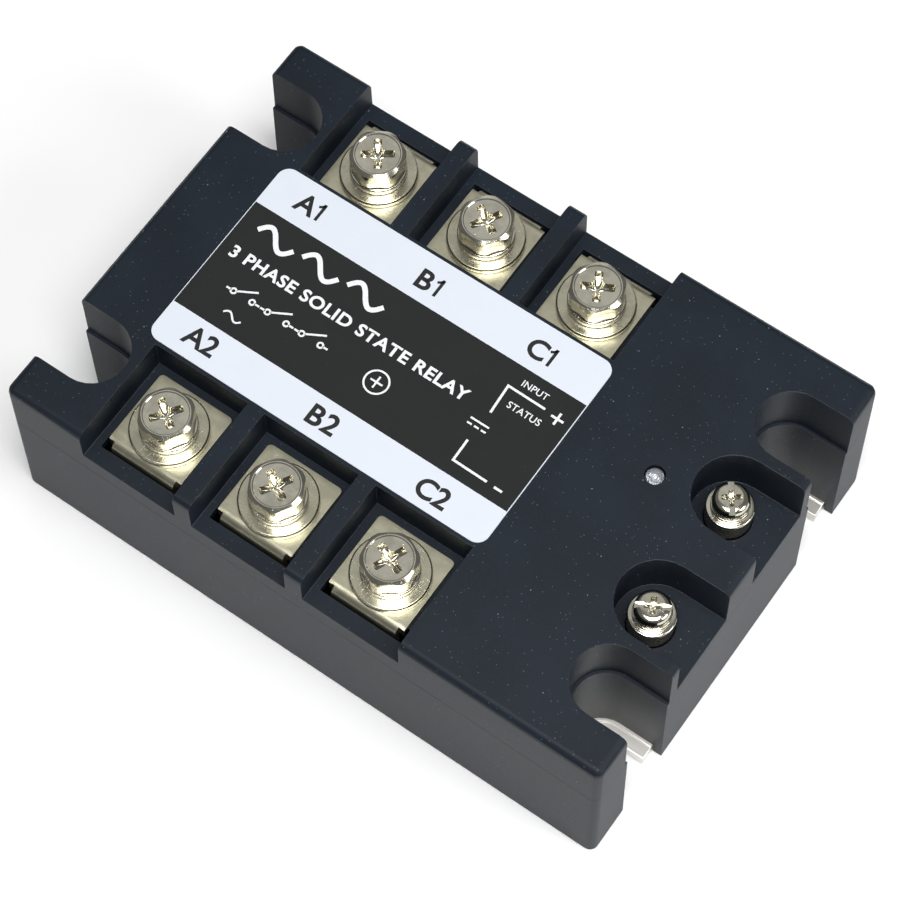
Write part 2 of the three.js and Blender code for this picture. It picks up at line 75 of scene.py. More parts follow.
# A hexagon head's flat face and turned-off corners, as shares of half its size across flats
HEAD_FACE = 0.92
HEAD_CORNER = 1.075
HEAD_CHAMFER = 33  # degrees
DISH_DEPTH = 0.13
DISH_RIM = 0.955  # of the flat face
DISH_FLOOR = 0.96  # of the dish's rim

# How far each screw is turned, in degrees
HEAD_TURN = {"a1": 5, "b1": 25, "c1": 22, "a2": 29, "b2": 28, "c2": 5}
CROSS_TURN = {"a1": 30, "b1": 33, "c1": 6, "a2": 25, "b2": 30, "c2": 61}  # from the head's flats
CONTROL_TURN = {"plus": -55, "minus": 28}
SPRING_GAP = 125  # where the spring washers' cuts face

# ---- Shader maths ---------------------------------------------------------------------------------


class Socket:
    """A node's output that adds a Math node when it is used in an expression."""

    def __init__(self, finish, output):
        self.finish = finish
        self.output = output

    def math(self, operation, *values):
        return self.finish.node("ShaderNodeMath", {"operation": operation}, dict(enumerate(values)))

    def __add__(self, other):
        return self.math("ADD", self, other)

    def __radd__(self, other):
        return self.math("ADD", other, self)

    def __sub__(self, other):
        return self.math("SUBTRACT", self, other)

    def __rsub__(self, other):
        return self.math("SUBTRACT", other, self)

    def __mul__(self, other):
        return self.math("MULTIPLY", self, other)

    def __rmul__(self, other):
        return self.math("MULTIPLY", other, self)

    def __gt__(self, other):
        return self.math("GREATER_THAN", self, other)

    def __lt__(self, other):
        return self.math("LESS_THAN", self, other)

    def between(self, low, high):
        """0 at low and 1 at high, smoothly; low may be the larger."""
        sockets = {"Value": self, "From Min": low, "From Max": high}
        return self.finish.node("ShaderNodeMapRange", {"interpolation_type": "SMOOTHSTEP"}, sockets)


def grey(value):
    return (value, value, value, 1.0)


def colour(red, green, blue):
    return (red, green, blue, 1.0)


class Finish:
    """A material whose surface is written as expressions."""

    def __init__(self, name, **constants):
        self.material = bpy.data.materials.new(name)
        self.material.use_nodes = True
        self.tree = self.material.node_tree
        self.shader = self.tree.nodes["Principled BSDF"]
        for socket, value in constants.items():
            self.shader.inputs[socket.replace("_", " ")].default_value = value

    def node(self, kind, settings=None, sockets=None, output=0):
        made = self.tree.nodes.new(kind)
        for name, value in (settings or {}).items():
            setattr(made, name, value)
        for key, value in (sockets or {}).items():
            self.feed(made.inputs[key], value)
        return Socket(self, made.outputs[output])

    def feed(self, socket, value):
        if isinstance(value, Socket):
            self.tree.links.new(value.output, socket)
        else:
            socket.default_value = value

    def surface(self, **values):
        for socket, value in values.items():
            self.feed(self.shader.inputs[socket.replace("_", " ")], value)
        return self

    def place(self, centre=(0, 0, 0), stretch=(1, 1, 1)):
        """The surface point in millimetres from a centre, stretched along the axes."""
        point = self.node("ShaderNodeTexCoord", output="Object")
        scale = [factor / MM for factor in stretch]
        shift = [-place * factor for place, factor in zip(centre, stretch)]
        return self.node("ShaderNodeMapping", None, {"Vector": point, "Scale": scale, "Location": shift})

    def parts(self, point):
        return [self.node("ShaderNodeSeparateXYZ", None, {0: point}, axis) for axis in "XYZ"]

    def noise(self, point, scale, detail=3.0, roughness=0.55):
        sockets = {"Vector": point, "Scale": scale, "Detail": detail, "Roughness": roughness}
        return self.node("ShaderNodeTexNoise", None, sockets)

    def cells(self, point, scale, output="Distance", **settings):
        return self.node("ShaderNodeTexVoronoi", settings, {"Vector": point, "Scale": scale}, output)

    def mix(self, share, first, second, blend="MIX"):
        settings = {"data_type": "RGBA", "blend_type": blend}
        return self.node("ShaderNodeMix", settings, {0: share, 6: first, 7: second}, 2)

    def bump(self, height, depth_mm, strength=1.0, under=None):
        sockets = {"Height": height, "Distance": depth_mm * MM, "Strength": strength}
        if under:
            sockets["Normal"] = under
        return self.node("ShaderNodeBump", None, sockets)

    def attribute(self, name):
        return self.node("ShaderNodeAttribute", {"attribute_name": name}, None, "Fac")

    def specks(self, point, scale, size, share):
        """1 inside small round specks in that share of the cells."""
        dot = self.cells(point, scale) < size
        chance = self.node("ShaderNodeSeparateColor", None, {0: self.cells(point, scale, "Color")}, 0)
        return dot * (chance < share)


# ---- Finishes -------------------------------------------------------------------------------------


def moulded_plastic():
    """Blue-black filled plastic with a fine spark-eroded grain and pale specks of filler and dust."""
    finish = Finish("moulded_black_plastic", IOR=1.5, Specular_IOR_Level=0.22)
    point = finish.place()
    grain = finish.noise(point, 5.5, 4.0, 0.65)
    cloud = finish.noise(point, 0.09, 3.0)
    edge_wear_and_highlight = finish.attribute("edge_wear_and_highlight")
    small = finish.specks(point, 1.6, 0.085, 0.6)
    large = finish.specks(point, 0.6, 0.055, 0.35)
    base = finish.mix(cloud.between(0.35, 0.7), colour(0.006, 0.0105, 0.0165), colour(0.0088, 0.0145, 0.0225))
    base = finish.mix(grain.between(0.3, 0.75) * 0.5, base, colour(0.0165, 0.021, 0.031))
    # painted highlight: the rounded edges are lightened in colour as if light caught them; their lower
    # roughness below stands for wear
    base = finish.mix(edge_wear_and_highlight * 0.4, base, colour(0.035, 0.04, 0.05))
    base = finish.mix(small * 0.6 + large * 0.7, base, colour(0.26, 0.32, 0.38))
    rough = 0.38 + grain * 0.14 + cloud * 0.05 - edge_wear_and_highlight * 0.1
    ripple = finish.bump(finish.noise(point, 0.35, 2.0), 0.05, 0.25)
    return finish.surface(Base_Color=base, Roughness=rough, Normal=finish.bump(grain, 0.03, 0.55, ripple))


def nickel(name, tint, gloss, marks):
    """Warm nickel plating: cloudy gloss, barrel-tumbling nicks and a few hairline scratches."""
    finish = Finish(name, Metallic=1.0)
    point = finish.place()
    cloud = finish.noise(point, 0.45, 4.0)
    fine = finish.noise(point, 6.0, 3.0)
    along = finish.noise(finish.place(stretch=(0.35, 9, 9)), 1.0, 3.0)
    across = finish.noise(finish.place(stretch=(9, 0.35, 9)), 1.0, 3.0)
    hairline = along.between(0.66, 0.7) + across.between(0.66, 0.7)
    nick = finish.specks(point, 1.1, 0.1, 0.3)
    dull = [channel * 0.78 for channel in tint]
    base = finish.mix(cloud.between(0.3, 0.7), colour(*tint), colour(*dull))
    base = finish.mix(nick * 0.3, base, colour(0.25, 0.22, 0.16))
    rough = gloss + cloud * 0.1 + hairline * 0.12 * marks + nick * 0.1
    height = fine * 0.3 + hairline * 0.5 * marks - nick * 1.0
    swell = finish.bump(finish.noise(point, 0.22, 1.5), 0.12, 0.5 * marks)
    return finish.surface(Base_Color=base, Roughness=rough, Normal=finish.bump(height, 0.012, 0.6, swell))


def machined_base():
    """Rolled and plated plate with straight mill marks along X."""
    finish = Finish("machined_base_metal", Metallic=1.0)
    point = finish.place()
    lines = finish.noise(finish.place(stretch=(0.06, 5, 5)), 1.0, 4.0)
    cloud = finish.noise(point, 0.12, 3.0)
    stain = cloud.between(0.45, 0.7)
    base = finish.mix(stain, colour(0.72, 0.7, 0.66), colour(0.55, 0.53, 0.49))
    rough = 0.28 + lines * 0.16 + stain * 0.1
    return finish.surface(Base_Color=base, Roughness=rough, Normal=finish.bump(lines, 0.02, 0.5))


def printed_film(black_low, black_high, border_low, border_high):
    """White polyester film with a printed black band between two heights across the label."""
    finish = Finish("printed_label_film", IOR=1.5, Coat_IOR=1.5, Specular_IOR_Level=0.35)
    point = finish.place()
    along, across, _ = finish.parts(point)
    band = (across > black_low) * (across < black_high) * (along > border_low) * (along < border_high)
    fleck = finish.specks(point, 0.7, 0.05, 0.3)
    mottle = finish.noise(point, 0.3, 3.0)
    white = finish.mix(mottle, colour(0.705, 0.745, 0.815), colour(0.67, 0.71, 0.785))
    black = finish.mix(mottle, colour(0.008, 0.009, 0.009), colour(0.011, 0.012, 0.012))
    ink = finish.mix(fleck * 0.25, black, colour(0.15, 0.16, 0.18))
    base = finish.mix(band, white, ink)
    rough = 0.3 + mottle * 0.08 - band * 0.05
    peel = finish.noise(point, 1.1, 3.0)
    relief = finish.bump(peel, 0.02, 0.25)
    return finish.surface(Base_Color=base, Roughness=rough, Coat_Weight=0.25, Normal=relief)


def printing_ink(name, shade):
    finish = Finish(name)
    point = finish.place()
    thin = finish.noise(point, 2.5, 4.0)
    base = finish.mix(thin.between(0.3, 0.7), colour(*shade), colour(*[channel * 0.88 for channel in shade]))
    rough = 0.32 + thin * 0.12
    return finish.surface(Base_Color=base, Roughness=rough, Normal=finish.bump(thin, 0.01, 0.3))


def clear_epoxy():
    """The lamp's water-clear epoxy, with a little haze."""
    finish = Finish("clear_lamp_epoxy", IOR=1.53, Transmission_Weight=0.85)
    haze = finish.noise(finish.place(), 1.4, 3.0)
    base = finish.mix(haze, colour(0.86, 0.92, 1.0), colour(0.97, 0.98, 1.0))
    return finish.surface(Base_Color=base, Roughness=0.04 + haze * 0.08)


def lamp_metal():
    finish = Finish("lamp_frame_silver", Metallic=1.0)
    cloud = finish.noise(finish.place(), 2.0, 3.0)
    base = finish.mix(cloud, colour(0.85, 0.86, 0.88), colour(0.65, 0.66, 0.68))
    return finish.surface(Base_Color=base, Roughness=0.25 + cloud * 0.15)


def board_laminate():
    """Green solder mask over a weave of glass cloth, with copper tracks showing through."""
    finish = Finish("board_laminate")
    point = finish.place()
    along, across, _ = finish.parts(point)
    warp = finish.node("ShaderNodeMath", {"operation": "SINE"}, {0: along * 9.0})
    weft = finish.node("ShaderNodeMath", {"operation": "SINE"}, {0: across * 9.0})
    weave = warp * weft
    track = finish.cells(point, 0.28, distance="MANHATTAN", feature="F1").between(0.42, 0.47)
    base = finish.mix(track, colour(0.012, 0.10, 0.035), colour(0.03, 0.17, 0.06))
    base = finish.mix(weave.between(-1, 1) * 0.2, base, colour(0.02, 0.07, 0.03))
    relief = finish.bump(weave + track, 0.03, 0.5)
    return finish.surface(Base_Color=base, Roughness=0.32 + weave * 0.04, Normal=relief)


def cast_resin():
    finish = Finish("cast_potting_resin")
    point = finish.place()
    flow = finish.noise(point, 0.2, 3.0)
    bubble = finish.specks(point, 0.6, 0.14, 0.25)
    base = finish.mix(flow, colour(0.008, 0.008, 0.010), colour(0.02, 0.019, 0.018))
    rough = 0.18 + flow * 0.2
    return finish.surface(Base_Color=base, Roughness=rough, Normal=finish.bump(flow - bubble, 0.15, 0.5))


def moulded_epoxy():
    finish = Finish("moulded_chip_epoxy")
    point = finish.place()
    grit = finish.noise(point, 9.0, 4.0)
    base = finish.mix(grit.between(0.3, 0.7), colour(0.011, 0.011, 0.012), colour(0.03, 0.03, 0.031))
    return finish.surface(Base_Color=base, Roughness=0.55 + grit * 0.2, Normal=finish.bump(grit, 0.03, 0.6))


def fired_ceramic():
    finish = Finish("fired_alumina")
    point = finish.place()
    grit = finish.noise(point, 7.0, 4.0)
    blush = finish.noise(point, 0.2, 3.0)
    base = finish.mix(blush, colour(0.80, 0.78, 0.72), colour(0.70, 0.67, 0.60))
    base = finish.mix(grit.between(0.55, 0.8) * 0.3, base, colour(0.5, 0.48, 0.44))
    return finish.surface(Base_Color=base, Roughness=0.5 + grit * 0.2, Normal=finish.bump(grit, 0.02, 0.5))


def polished_silicon():
    finish = Finish("polished_silicon", Metallic=0.35)
    point = finish.place()
    bloom = finish.noise(point, 0.5, 3.0)
    pads = finish.cells(point, 0.22, distance="CHEBYCHEV").between(0.36, 0.38)
    base = finish.mix(bloom, colour(0.05, 0.055, 0.085), colour(0.09, 0.085, 0.075))
    base = finish.mix(pads, base, colour(0.6, 0.58, 0.52))
    return finish.surface(Base_Color=base, Roughness=0.12 + bloom * 0.15 + pads * 0.15)


PLASTIC = moulded_plastic()
BRIGHT_NICKEL = nickel("bright_nickel", (0.76, 0.73, 0.61), 0.09, 0.6)
SATIN_NICKEL = nickel("satin_nickel", (0.7, 0.67, 0.5), 0.26, 1.0)
WASHER_NICKEL = nickel("washer_nickel", (0.68, 0.65, 0.5), 0.22, 0.8)
SLEEVE_NICKEL = nickel("sleeve_nickel", (0.42, 0.38, 0.28), 0.2, 0.5)
BASE_METAL = machined_base()
WHITE_INK = printing_ink("white_ink", (0.86, 0.88, 0.9))
BLACK_INK = printing_ink("black_ink", (0.012, 0.012, 0.013))
CLEAR_EPOXY = clear_epoxy()
LAMP_METAL = lamp_metal()

# ---- Modelling helpers ----------------------------------------------------------------------------


def span(node):
    """A CAD node's lowest and highest corners in millimetres."""
    low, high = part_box(node)
    return low / MM, high / MM


def middle(node):
    low, high = span(node)
    return (low + high) / 2


def finished(bm, name, body, finish, replaced=(), place=None, facet=30):
    """Turns a mesh in millimetres into a piece that rides on a body, with its place in its mesh."""
    if place:
        bmesh.ops.transform(bm, matrix=place, verts=bm.verts)
    bmesh.ops.scale(bm, vec=(MM, MM, MM), verts=bm.verts)
    mesh = bpy.data.meshes.new(name)
    bm.to_mesh(mesh)
    bm.free()
    return piece(mesh, name, body, finish, replaced, facet)


def piece(mesh, name, body, finish, replaced=(), facet=30):
    mesh.materials.clear()
    mesh.materials.append(finish.material)
    mesh.shade_smooth()
    mesh.set_sharp_from_angle(angle=math.radians(facet))
    made = bpy.data.objects.new(name, mesh)
    bpy.context.scene.collection.objects.link(made)
    weighted = made.modifiers.new("flat faces stay flat", "WEIGHTED_NORMAL")
    weighted.keep_sharp = True
    weighted.weight = 90
    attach(made, body)
    if replaced:
        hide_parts(*replaced)
    return made


def edges_of(bm, geometry):
    verts = {v for v in geometry if isinstance(v, bmesh.types.BMVert)}
    return [e for e in bm.edges if e.verts[0] in verts and e.verts[1] in verts]


def sharp_edges(bm, angle):
    return [e for e in bm.edges if e.is_manifold and e.calc_face_angle() > math.radians(angle)]


def broken(bm, width, edges, segments=2):
    """Rounds edges over. Returns the new faces."""
    return bmesh.ops.bevel(
        bm, geom=edges, offset=width, offset_type="OFFSET", affect="EDGES", segments=segments, profile=0.5,
        material=-1, clamp_overlap=True,
    )["faces"]


def outline(bm, points, closed=True):
    verts = [bm.verts.new(point) for point in points]
    pairs = list(zip(verts, verts[1:])) + ([(verts[-1], verts[0])] if closed else [])
    return [bm.edges.new(pair) for pair in pairs]


def spun(bm, edges, turn=2 * math.pi, steps=64, lift=0.0):
    """Spins edges about Z, rising by lift in all."""
    full = abs(turn - 2 * math.pi) < 1e-6 and not lift
    verts = list({v for e in edges for v in e.verts})
    bmesh.ops.spin(
        bm, geom=verts + edges, cent=(0, 0, 0), axis=(0, 0, 1), dvec=(0, 0, lift / steps),
        angle=turn, steps=steps, use_merge=full,
    )
    bmesh.ops.remove_doubles(bm, verts=bm.verts, dist=1e-4)


def drawn(bm, edges, move):
    """Extrudes a loop of edges and moves each new vertex. Returns the new loop."""
    made = bmesh.ops.extrude_edge_only(bm, edges=edges)["geom"]
    for v in made:
        if isinstance(v, bmesh.types.BMVert):
            v.co = move(v.co.copy())
    return edges_of(bm, made)


def scaled(factor, height):
    return lambda co: Vector((co.x * factor, co.y * factor, height))


def outward(bm):
    bmesh.ops.remove_doubles(bm, verts=bm.verts, dist=1e-4)
    bmesh.ops.recalc_face_normals(bm, faces=bm.faces)


# ---- Case -----------------------------------------------------------------------------------------


def softened(node, width, finish, crisp=None):
    """A CAD solid's mesh with flat faces made whole and its edges broken, as a mould leaves them.

    Edges around the upright axis through a crisp point keep their sharp corner.
    """
    bm = bmesh.new()
    bm.from_mesh(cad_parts[node].data)
    bmesh.ops.scale(bm, vec=(1 / MM,) * 3, verts=bm.verts)
    bmesh.ops.remove_doubles(bm, verts=bm.verts, dist=WELD)
    bmesh.ops.dissolve_degenerate(bm, edges=bm.edges, dist=5e-3)
    bmesh.ops.dissolve_limit(bm, angle_limit=math.radians(0.5), verts=bm.verts, edges=bm.edges)
    edge_wear_and_highlight = bm.faces.layers.float.new("edge_wear_and_highlight")
    edges = sharp_edges(bm, FACET_ANGLE)
    if crisp:
        edges = [e for e in edges if (e.verts[0].co.xy - crisp.xy).length > CRISP_REACH]
    # the broken edges' faces are marked: the plastic finish lightens them as a painted highlight and lowers
    # their roughness as wear
    for face in broken(bm, width, edges):
        face[edge_wear_and_highlight] = 1.0
    bmesh.ops.remove_doubles(bm, verts=bm.verts, dist=WELD)
    bmesh.ops.dissolve_degenerate(bm, edges=bm.edges, dist=5e-4)
    return finished(bm, node + "_moulding", HOUSING, finish, [node], facet=25)


softened("upper_cover", MOULDED_EDGE, PLASTIC, crisp=middle("status_led"))
softened("lower_housing", MOULDED_EDGE, PLASTIC)
softened("base_plate", MACHINED_EDGE, BASE_METAL)

# ---- Label ----------------------------------------------------------------------------------------

LABEL_CORNER = 2.0
LABEL_BORDER = 0.14  # white film left beyond the print
BLACK_BAND = (-10.7, 9.6)  # across the label
INK = 0.012  # thickness of the print
MARK_HEIGHT = 3.1
MARK_WEIGHT = 0.12  # how far the marks' outlines move out
LETTER_SHIFT = -1.3  # along the label from the middle of a mark
NUMERAL_SHIFT = {"1": 1.25, "2": 1.4}

label_low, label_high = span("name_label")


def name_label():
    bm = bmesh.new()
    bmesh.ops.create_grid(bm, x_segments=1, y_segments=1, size=1.0)
    half = (label_high - label_low) / 2
    centre = (label_high + label_low) / 2
    bmesh.ops.scale(bm, vec=(half.x, half.y, 1), verts=bm.verts)
    bmesh.ops.bevel(
        bm, geom=bm.verts[:], offset=LABEL_CORNER, affect="VERTICES", segments=10, profile=0.5, material=-1,
    )
    base = bm.faces[:]
    made = bmesh.ops.extrude_face_region(bm, geom=base)["geom"]
    top = [v for v in made if isinstance(v, bmesh.types.BMVert)]
    bmesh.ops.translate(bm, vec=(0, 0, label_high.z - label_low.z), verts=top)
    outward(bm)
    sharp = sharp_edges(bm, FACET_ANGLE)
    broken(bm, FILM_EDGE, [e for e in edges_of(bm, top) if e in sharp])
    film = printed_film(*BLACK_BAND, label_low.x + LABEL_BORDER, label_high.x - LABEL_BORDER)
    place = Matrix.Translation((centre.x, centre.y, label_low.z))
    finished(bm, "printed_label", HOUSING, film, ["name_label"], place)


class Print:
    """Everything printed on the label in one ink, gathered into one mesh."""

    def __init__(self):
        self.bm = bmesh.new()
        self.level = label_high.z

    def text(self, words, x, y, height, width=1.0, weight=0.0, spacing=1.0):
        """Words centred on a point, with that capital height, widened and with their outlines moved out."""
        data = bpy.data.curves.new("lettering", "FONT")
        data.body = words
        data.align_x = "CENTER"
        data.align_y = "CENTER"
        data.extrude = INK / 2 / height
        data.space_character = spacing
        data.resolution_u = 6
        holder = bpy.data.objects.new("lettering", data)
        bpy.context.scene.collection.objects.link(holder)
        bpy.context.view_layer.update()
        mesh = holder.to_mesh()
        low = min(v.co.y for v in mesh.vertices)
        high = max(v.co.y for v in mesh.vertices)
        size = height / (high - low)
        place = Matrix.Translation((x, y, self.level + INK / 2))
        place = place @ Matrix.Diagonal((size * width, size, height, 1))
        mesh.transform(place @ Matrix.Translation((0, -(low + high) / 2, 0)))
        known = set(self.bm.verts)
        self.bm.from_mesh(mesh)
        holder.to_mesh_clear()
        bpy.data.objects.remove(holder)
        bmesh.ops.remove_doubles(self.bm, verts=[v for v in self.bm.verts if v not in known], dist=1e-4)
        self.thicken([v for v in self.bm.verts if v not in known], weight)

    def thicken(self, verts, weight):
        """Moves the upright walls of the letters outwards."""
        self.bm.normal_update()
        moves = []
        for v in verts:
            walls = [f.normal for f in v.link_faces if abs(f.normal.z) < 0.5]
            first = walls[0]
            second = min(walls, key=first.dot)
            moves.append((v, (first + second) / max(0.6, 1 + first.dot(second)) * weight))
        for v, move in moves:
            v.co += move

    def line(self, points, width):
        """A line of that width through points, with square ends and mitred corners."""
        bm = self.bm
        half = width / 2
        path = [Vector(point) for point in points]
        rows = []
        for i, here in enumerate(path):
            before = (here - path[i - 1]).normalized() if i else None
            after = (path[i + 1] - here).normalized() if i + 1 < len(path) else None
            along = (before or after) + (after or before)
            along.normalize()
            side = Vector((-along.y, along.x))
            reach = half / max(0.3, abs(side.dot(Vector((-(before or after).y, (before or after).x)))))
            rows.append([here + side * reach, here - side * reach])
        top = [[bm.verts.new((p.x, p.y, self.level + INK)) for p in row] for row in rows]
        faces = [bm.faces.new((a[0], a[1], b[1], b[0])) for a, b in zip(top, top[1:])]
        made = bmesh.ops.extrude_face_region(bm, geom=faces)["geom"]
        low = [v for v in made if isinstance(v, bmesh.types.BMVert)]
        bmesh.ops.translate(bm, vec=(0, 0, -INK), verts=low)

    def ring(self, x, y, radius, width, steps=32):
        turn = [2 * math.pi * i / steps for i in range(steps + 1)]
        self.line([(x + radius * math.cos(a), y + radius * math.sin(a)) for a in turn], width)

    def finish(self, name, finish):
        bmesh.ops.remove_doubles(self.bm, verts=self.bm.verts, dist=1e-4)
        bmesh.ops.recalc_face_normals(self.bm, faces=self.bm.faces)
        finished(self.bm, name, HOUSING, finish)


def sine_wave(ink, x, y, length, height, width, steps=24):
    points = []
    for i in range(steps + 1):
        share = i / steps
        points.append((x + (share - 0.5) * length, y + height / 2 * math.sin(2 * math.pi * share)))
    ink.line(points, width)


def numeral_one(ink, x, y):
    """An upright stroke with a flag."""
    low, high = y - MARK_HEIGHT / 2, y + MARK_HEIGHT / 2
    ink.line([(x, low), (x, high)], 0.5)
    ink.line([(x, high - 0.2), (x - 0.35, high - 0.62), (x - 0.8, high - 0.85)], 0.42)


def terminal_marks():
    ink = Print()
    places = {
        "A1": (-32.4, 13.5), "B1": (-10.6, 13.1), "C1": (9.5, 13.1),
        "A2": (-32.7, -13.7), "B2": (-10.8, -13.9), "C2": (9.0, -14.3),
    }
    for mark, (x, y) in places.items():
        letter, number = mark
        place = x + NUMERAL_SHIFT[number]
        ink.text(letter, x + LETTER_SHIFT, y, MARK_HEIGHT, width=1.04, weight=MARK_WEIGHT)
        if number == "1":
            numeral_one(ink, place, y)
        else:
            ink.text(number, place, y, MARK_HEIGHT, width=1.02, weight=MARK_WEIGHT)
    ink.finish("terminal_marks", BLACK_INK)


def panel_print():
    """White print on the black band: three phases, what the part is, and the control input's diagram."""
    ink = Print()
    for i in range(3):
        sine_wave(ink, -33.9 + i * 8.2, 5.9, 6.6, 2.9, 0.8)
    ink.text("3 PHASE SOLID STATE RELAY", -17.2, 1.0, 1.95, width=1.1, weight=0.085, spacing=1.08)
    switch_symbols(ink)
    control_diagram(ink)
    ink.finish("panel_print", WHITE_INK)


def plus_sign(ink, x, y, size, stroke):
    reach, root = size / 2, stroke / 2
    ink.line([(x - reach, y), (x + reach, y)], stroke)
    ink.line([(x, y + root), (x, y + reach)], stroke)
    ink.line([(x, y - reach), (x, y - root)], stroke)


def switch_symbols(ink):
    """Three open contacts, drawn as on a wiring diagram."""
    for i in range(3):
        x = -34.0 + i * 6.2
        ink.ring(x, -4.4, 0.42, 0.3)
        ink.ring(x + 3.4, -4.4, 0.42, 0.3)
        ink.line([(x + 0.42, -4.2), (x + 3.3, -2.6)], 0.32)
        ink.line([(x - 1.3, -4.4), (x - 0.42, -4.4)], 0.32)
        ink.line([(x + 3.82, -4.4), (x + 4.7, -4.4)], 0.32)
    sine_wave(ink, -31.6, -8.0, 3.2, 1.1, 0.3)
    ink.ring(-8.0, -4.6, 1.9, 0.3)
    plus_sign(ink, -8.0, -4.6, 2.1, 0.3)


def control_diagram(ink):
    stroke = 0.38
    ink.line([(8.3, 0.8), (8.0, 5.8), (14.5, 5.7)], stroke)
    ink.line([(8.1, -4.6), (8.2, -8.4), (14.1, -8.5)], stroke)
    ink.text("INPUT", 11.6, 7.4, 1.05, width=1.0, weight=0.015, spacing=1.05)
    ink.text("STATUS", 12.4, 3.4, 1.1, width=1.0, weight=0.015, spacing=1.05)
    plus_sign(ink, 16.8, 5.4, 2.1, stroke)
    ink.line([(15.4, -8.6), (16.8, -8.6)], stroke)
    ink.line([(6.4, -1.4), (9.6, -1.4)], 0.3)
    for i in range(3):
        ink.line([(6.4 + i * 1.2, -2.3), (7.2 + i * 1.2, -2.3)], 0.3)


name_label()
terminal_marks()
panel_print()

# ---- Fasteners ------------------------------------------------------------------------------------


def threaded_shank(bm, size, steps=24):
    """A right-hand helical thread from the tip up to z = 0. Returns the open loop at the top."""
    pitch, length = size["pitch"], size["length"]
    crest = size["thread"] / 2
    root = crest - THREAD_DEPTH * pitch
    turns = int(length / pitch) + 3
    points = []
    for i in range(turns):
        base = -length - 2 * pitch + i * pitch
        for radius, share in ((root, 0), (root, 0.2), (crest, 0.56), (crest, 0.7)):
            points.append((radius, 0, base + pitch * share))
    spun(bm, outline(bm, points, closed=False), steps=steps, lift=pitch)
    bmesh.ops.remove_doubles(bm, verts=bm.verts, dist=1e-3)
    for height, normal in ((0, 1), (-length, -1)):
        bmesh.ops.bisect_plane(
            bm, geom=bm.verts[:] + bm.edges[:] + bm.faces[:], plane_co=(0, 0, height),
            plane_no=(0, 0, normal), clear_outer=True, dist=1e-5,
        )
    lead = 0.7 * pitch
    taper = 0.35
    for v in bm.verts:
        depth = max(0.0, -length + lead - v.co.z)
        v.co.xy *= 1 - taper * depth / lead
    tip = [e for e in bm.edges if e.is_boundary and max(v.co.z for v in e.verts) < -length + 1e-3]
    bmesh.ops.holes_fill(bm, edges=tip)
    return [e for e in bm.edges if e.is_boundary]


def joined(bm, *loops):
    """Fills the flat area between loops."""
    edges = [e for loop in loops for e in loop]
    bmesh.ops.triangle_fill(bm, use_beauty=True, use_dissolve=False, edges=edges)


def recess(bm, cross, top, turn=0.0):
    """A cross recess sunk into a flat top. Returns its outline, ready to be joined to the top."""
    reach, arm, depth = cross["reach"], cross["arm"], cross["depth"]
    end_round = arm * 0.45
    known = set(bm.verts)
    points = []
    for quarter in range(4):
        spin = Matrix.Rotation(quarter * math.pi / 2, 3, "Z")
        points += [spin @ Vector(p) for p in ((reach, -arm, top), (reach, arm, top), (arm, arm, top))]
    edges = outline(bm, points)
    face = bm.faces.new([e.verts[0] for e in edges])
    inner = [v for v in face.verts if abs(abs(v.co.x) - abs(v.co.y)) < 1e-5]
    outer = [v for v in face.verts if v not in inner]
    for corners, radius in ((inner, cross["fillet"]), (outer, end_round)):
        bmesh.ops.bevel(
            bm, geom=corners, offset=radius, affect="VERTICES", segments=3, profile=0.5, material=-1,
        )
    flat = [f for f in bm.faces if abs(f.normal.z) > 0.9 and abs(f.verts[0].co.z - top) < 1e-5]
    face = max(flat, key=lambda f: len(f.verts))
    loop = list(face.edges)
    bmesh.ops.delete(bm, geom=[face], context="FACES_ONLY")
    ring = loop
    for factor, share in RECESS_WALL:
        ring = drawn(bm, ring, scaled(factor, top - depth * share))
    bmesh.ops.holes_fill(bm, edges=ring)
    sunk = [v for v in bm.verts if v not in known]
    bmesh.ops.rotate(bm, verts=sunk, cent=(0, 0, 0), matrix=Matrix.Rotation(turn, 3, "Z"))
    return loop


def hexagon_screw(size, head_height, cross_turn):
    """Hexagon head with turned-off corners, a dished top and a cross recess, about z = 0 under the head."""
    flats = size["across_flats"] / 2
    rim = flats * HEAD_FACE
    corner = flats * HEAD_CORNER
    slope = math.tan(math.radians(HEAD_CHAMFER))

    def side(co):
        """How far out the head's side is in a point's direction."""
        sixth = math.pi / 3
        angle = (math.atan2(co.y, co.x) + sixth / 2) % sixth - sixth / 2
        return min(corner, flats / math.cos(angle))

    def turned_off(base, sign):
        def move(co):
            out = side(co)
            return Vector((*(co.xy.normalized() * out), base + sign * (out - rim) * slope))
        return move

    bm = bmesh.new()
    seat = threaded_shank(bm, size)
    known = set(bm.edges)
    bmesh.ops.create_circle(bm, segments=96, radius=rim)
    loop = [e for e in bm.edges if e not in known]
    joined(bm, seat, loop)
    loop = drawn(bm, loop, turned_off(0, 1))
    loop = drawn(bm, loop, turned_off(head_height, -1))
    loop = drawn(bm, loop, lambda co: Vector((*(co.xy.normalized() * rim), head_height)))
    loop = drawn(bm, loop, scaled(DISH_RIM, head_height))
    dish = head_height - DISH_DEPTH
    loop = drawn(bm, loop, scaled(DISH_FLOOR, dish))
    joined(bm, loop, recess(bm, M5_CROSS, dish, math.radians(cross_turn)))
    outward(bm)
    return bm


def flat_washer(outer, inner, thickness):
    """Stamped: rolled over at the top edges, with the lower ones only just broken."""
    bm = bmesh.new()
    roll = min(0.28, thickness * 0.35)
    trim = 0.06
    edges = outline(bm, [(inner, 0, 0), (outer, 0, 0), (outer, 0, thickness), (inner, 0, thickness)])
    spun(bm, edges, steps=96)
    rims = [e for e in sharp_edges(bm, 60) if e.verts[0].co.z > thickness / 2]
    broken(bm, roll, rims, segments=4)
    low = [e for e in sharp_edges(bm, 60) if e.verts[0].co.z < thickness / 2]
    broken(bm, trim, low)
    outward(bm)
    return bm


